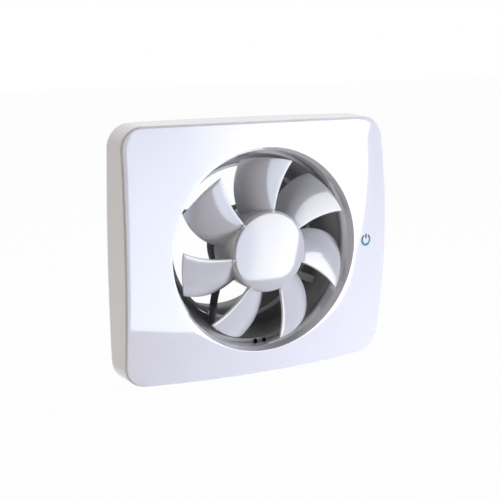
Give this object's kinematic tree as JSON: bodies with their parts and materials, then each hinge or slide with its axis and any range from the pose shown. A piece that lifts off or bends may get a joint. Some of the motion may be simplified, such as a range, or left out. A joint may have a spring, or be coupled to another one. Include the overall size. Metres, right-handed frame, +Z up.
{
  "type": "wall extract fan",
  "caption": "Wall-mounted axial extract fan for a round duct, with a pillow-shaped clip-on front cover, an open circular inlet and a free-turning impeller.",
  "frame": {"origin": "on the duct axis, in the plane of the wall that the unit is mounted on", "axes": "+X to the right seen from the room, +Y into the wall along the duct axis, +Z up"},
  "size_m": [0.1834, 0.0754, 0.1586],
  "materials": {
    "gloss_white": "high gloss",
    "white_plastic": "gloss",
    "grey_plastic": "satin",
    "plate_plastic": "fine texture",
    "steel": "ground",
    "dark_steel": "oxidised",
    "ferrite": "matt",
    "copper": "enamelled",
    "board_green": "solder mask",
    "black_plastic": "satin",
    "clear_plastic": "frosted",
    "zinc_screw": "zinc plated",
    "rubber": "matt"
  },
  "bodies": {
    "base": {"wall_plate": "plate_plastic", "fan_duct": "grey_plastic", "spigot": "grey_plastic", "pod_cap": "grey_plastic", "bearing_tube": "black_plastic", "front_bearing": "steel", "rear_bearing": "steel", "bearing_spring": "dark_steel", "stator_core": "dark_steel", "winding_1": "copper", "winding_2": "copper", "winding_3": "copper", "winding_4": "copper", "winding_5": "copper", "winding_6": "copper", "motor_board": "board_green", "control_board": "board_green", "power_module": "black_plastic", "filter_capacitor": "dark_steel", "humidity_sensor": "white_plastic", "touch_board": "board_green", "light_guide": "clear_plastic", "terminal_block": "black_plastic", "cable_grommet": "rubber", "cable_clamp": "white_plastic", "duct_screw_1": "zinc_screw", "duct_screw_2": "zinc_screw", "duct_screw_3": "zinc_screw", "duct_screw_4": "zinc_screw", "pod_cap_screw_1": "zinc_screw", "pod_cap_screw_2": "zinc_screw", "pod_cap_screw_3": "zinc_screw", "control_board_screw_1": "zinc_screw", "control_board_screw_2": "zinc_screw", "touch_board_screw_1": "zinc_screw", "touch_board_screw_2": "zinc_screw", "cable_clamp_screw_1": "zinc_screw", "cable_clamp_screw_2": "zinc_screw", "terminal_screw_1": "zinc_screw", "terminal_screw_2": "zinc_screw", "terminal_screw_3": "zinc_screw"},
    "cover": {"front_cover": "gloss_white"},
    "impeller": {"impeller": "white_plastic", "rotor_cup": "dark_steel", "magnet_ring": "ferrite", "shaft": "steel", "retaining_clip": "dark_steel"}
  },
  "joints": [
    {"name": "impeller_spin", "type": "hinge", "parent": "base", "child": "impeller", "pos_m": [0, -0.02, 0], "axis": [0, 1, 0], "continuous": true},
    {"name": "cover_release", "type": "slide", "parent": "base", "child": "cover", "axis": [0, -1, 0], "range_m": [0, 0.03]}
  ]
}
